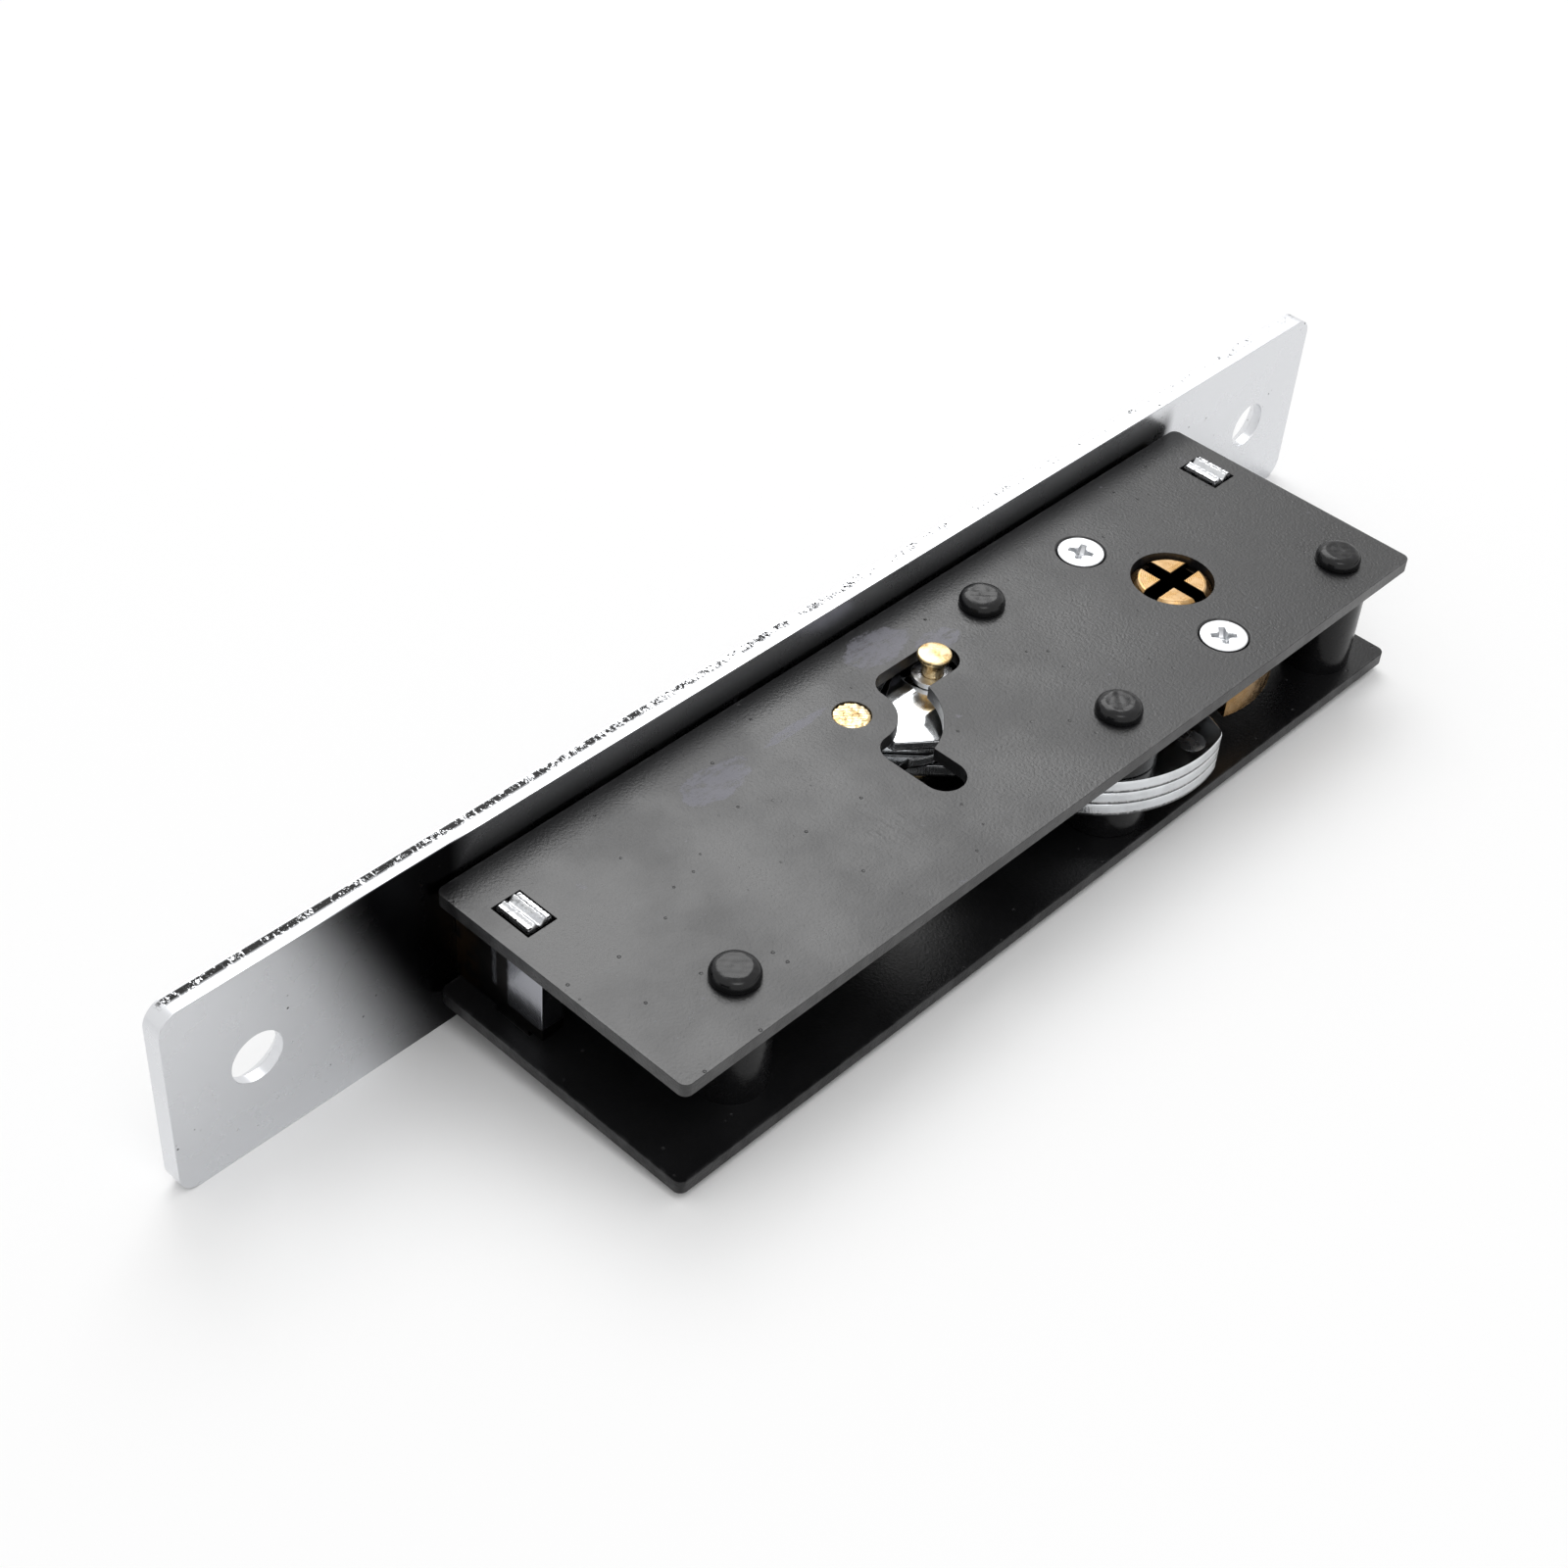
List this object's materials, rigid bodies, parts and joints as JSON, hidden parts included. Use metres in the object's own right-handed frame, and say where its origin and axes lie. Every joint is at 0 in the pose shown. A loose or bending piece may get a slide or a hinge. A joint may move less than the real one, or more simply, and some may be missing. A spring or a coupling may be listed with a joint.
{
  "type": "sliding door lock",
  "caption": "Slim mortise lock for a sliding door: a cylinder's tail turns a brass hub, whose finger swings a lever that throws a laminated hook through the faceplate and pins it.",
  "frame": {"origin": "midway between the two fixing holes, on the faceplate's back face", "axes": "+X along the faceplate towards the hook's end, +Y from the faceplate into the door, +Z across the case out of the cover"},
  "size_m": [0.22, 0.0481, 0.03],
  "materials": {
    "black_paint": "satin black paint with a fine texture",
    "chrome_plate": "bright chrome plate",
    "zinc_plate": "bright zinc plate",
    "plain_steel": "turned steel",
    "brass": "cut brass"
  },
  "bodies": {
    "case": {"faceplate": "chrome_plate", "case_base": "black_paint", "case_cover": "black_paint", "spacer_near": "black_paint", "spacer_front": "black_paint", "spacer_far": "black_paint", "bracket_near": "zinc_plate", "bracket_far": "zinc_plate", "bracket_rivets": "chrome_plate", "hub_retainer": "zinc_plate", "hub_bush": "plain_steel", "cylinder_screw_front": "zinc_plate", "cylinder_screw_rear": "zinc_plate", "lever_pivot": "black_paint", "lever_bush_upper": "black_paint", "lever_bush_lower": "black_paint", "hook_pivot": "brass", "hook_bush_upper": "plain_steel", "hook_bush_lower": "plain_steel"},
    "hub": {"cam_hub": "brass"},
    "drive_lever": {"lever_ply_upper": "zinc_plate", "lever_ply_middle": "zinc_plate", "lever_ply_lower": "zinc_plate", "lever_rivets": "plain_steel"},
    "hook": {"hook_ply_upper": "zinc_plate", "hook_ply_middle": "zinc_plate", "hook_ply_lower": "zinc_plate", "hook_rivets": "plain_steel"},
    "pin": {"locking_pin": "brass", "pin_washer_upper": "plain_steel", "pin_washer_lower": "plain_steel"}
  },
  "joints": [
    {"name": "hub_turn", "type": "hinge", "parent": "case", "child": "hub", "pos_m": [-0.0455, 0.023, 0], "axis": [0, 0, 1], "range_deg": [-40, 0]},
    {"name": "lever_swing", "type": "hinge", "parent": "case", "child": "drive_lever", "pos_m": [-0.017, 0.0358, 0], "axis": [0, 0, 1], "range_deg": [0, 51.7]},
    {"name": "hook_swing", "type": "hinge", "parent": "case", "child": "hook", "pos_m": [0.0097, 0.0124, 0], "axis": [0, 0, 1], "range_deg": [-90.1, 0]},
    {"name": "pin_travel", "type": "hinge", "parent": "drive_lever", "child": "pin", "pos_m": [-0.00723, 0.01047, 0], "axis": [0, 0, 1], "range_deg": [0, 668.6]}
  ],
  "couplings": [
    {"joint": "lever_swing", "follows": "hub_turn", "ratio": -1.29},
    {"joint": "hook_swing", "follows": "hub_turn", "ratio": 2.25},
    {"joint": "pin_travel", "follows": "hub_turn", "ratio": -16.71}
  ]
}
